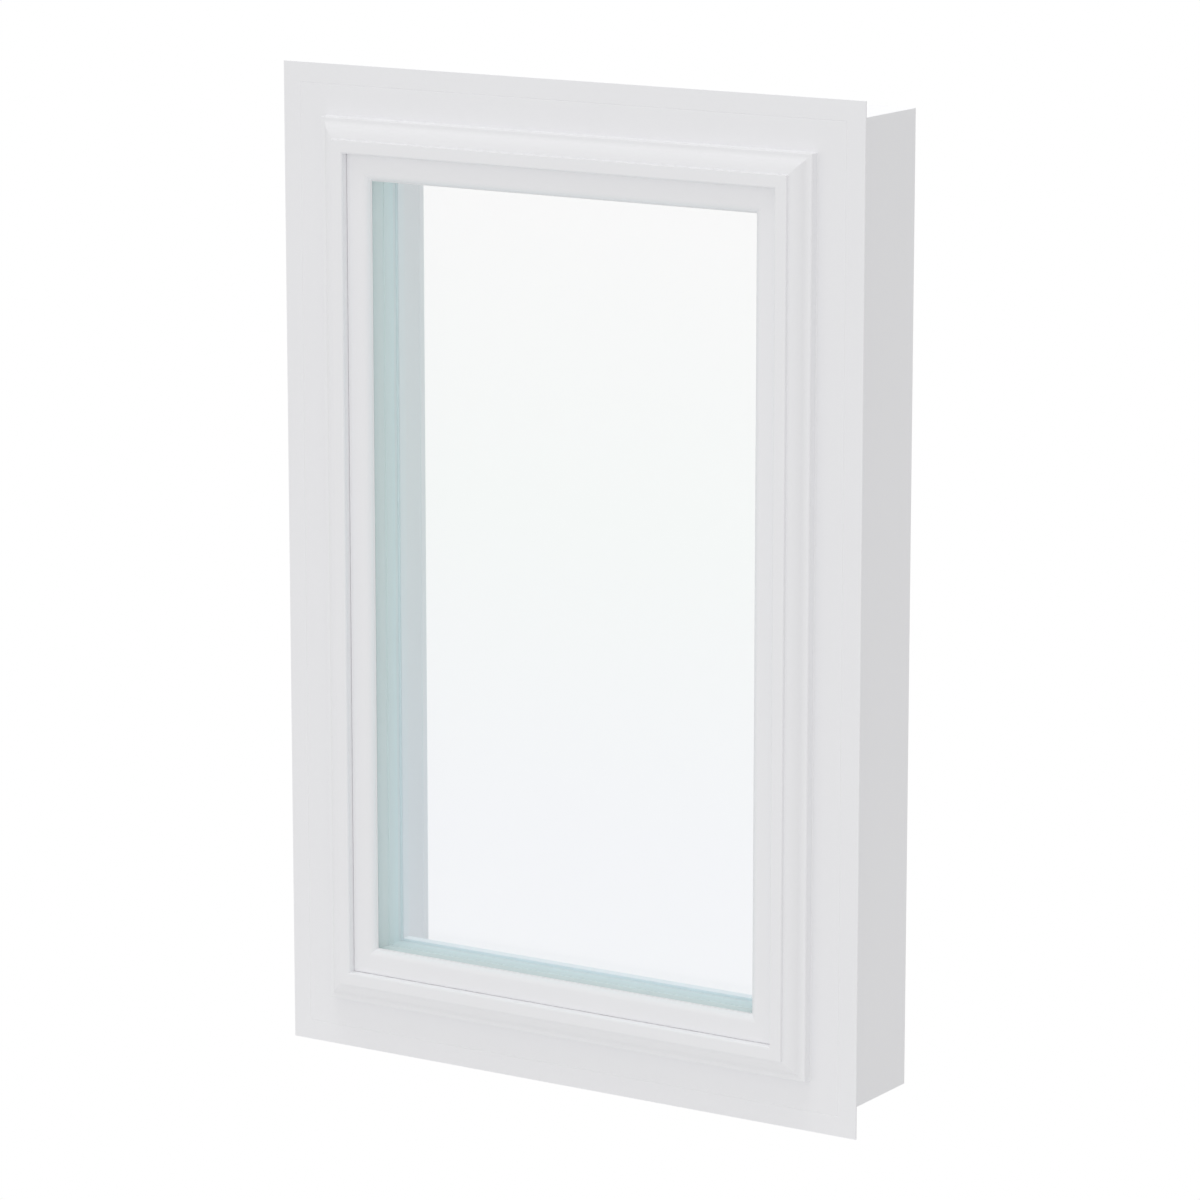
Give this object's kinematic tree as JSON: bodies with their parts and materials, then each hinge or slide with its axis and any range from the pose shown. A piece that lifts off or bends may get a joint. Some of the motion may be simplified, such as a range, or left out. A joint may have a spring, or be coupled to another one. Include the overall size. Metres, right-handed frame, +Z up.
{
  "type": "fixed picture window",
  "caption": "Fixed window unit: white mitred vinyl frame with integral nailing flange and stepped exterior moulding, snap-in glazing beads and a sealed triple glass unit.",
  "frame": {"origin": "on the back face of the sill's nailing flange, at mid-width and at the middle of the flange strip", "axes": "+X along the sill to the viewer's right seen from the street, +Y from the street side through the wall to the room side, +Z up the jambs"},
  "size_m": [0.5968, 0.1377, 0.9017],
  "materials": {
    "frame_vinyl": "satin white",
    "bead_vinyl": "satin white",
    "glass": "clear, polished",
    "gasket": "soft satin, pale grey",
    "spacer": "matt foam, pale grey",
    "tape": "matt foam, white",
    "block": "matt"
  },
  "bodies": {
    "root": {"frame_head": "frame_vinyl", "frame_sill": "frame_vinyl", "frame_jamb_left": "frame_vinyl", "frame_jamb_right": "frame_vinyl", "glazing_bead_head": "bead_vinyl", "glazing_bead_sill": "bead_vinyl", "glazing_bead_left": "bead_vinyl", "glazing_bead_right": "bead_vinyl", "bead_gasket_head": "gasket", "bead_gasket_sill": "gasket", "bead_gasket_left": "gasket", "bead_gasket_right": "gasket", "outer_pane": "glass", "middle_pane": "glass", "inner_pane": "glass", "spacer_head": "spacer", "spacer_sill": "spacer", "spacer_left": "spacer", "spacer_right": "spacer", "glazing_tape_head": "tape", "glazing_tape_sill": "tape", "glazing_tape_left": "tape", "glazing_tape_right": "tape", "setting_block_left": "block", "setting_block_right": "block"}
  },
  "joints": []
}
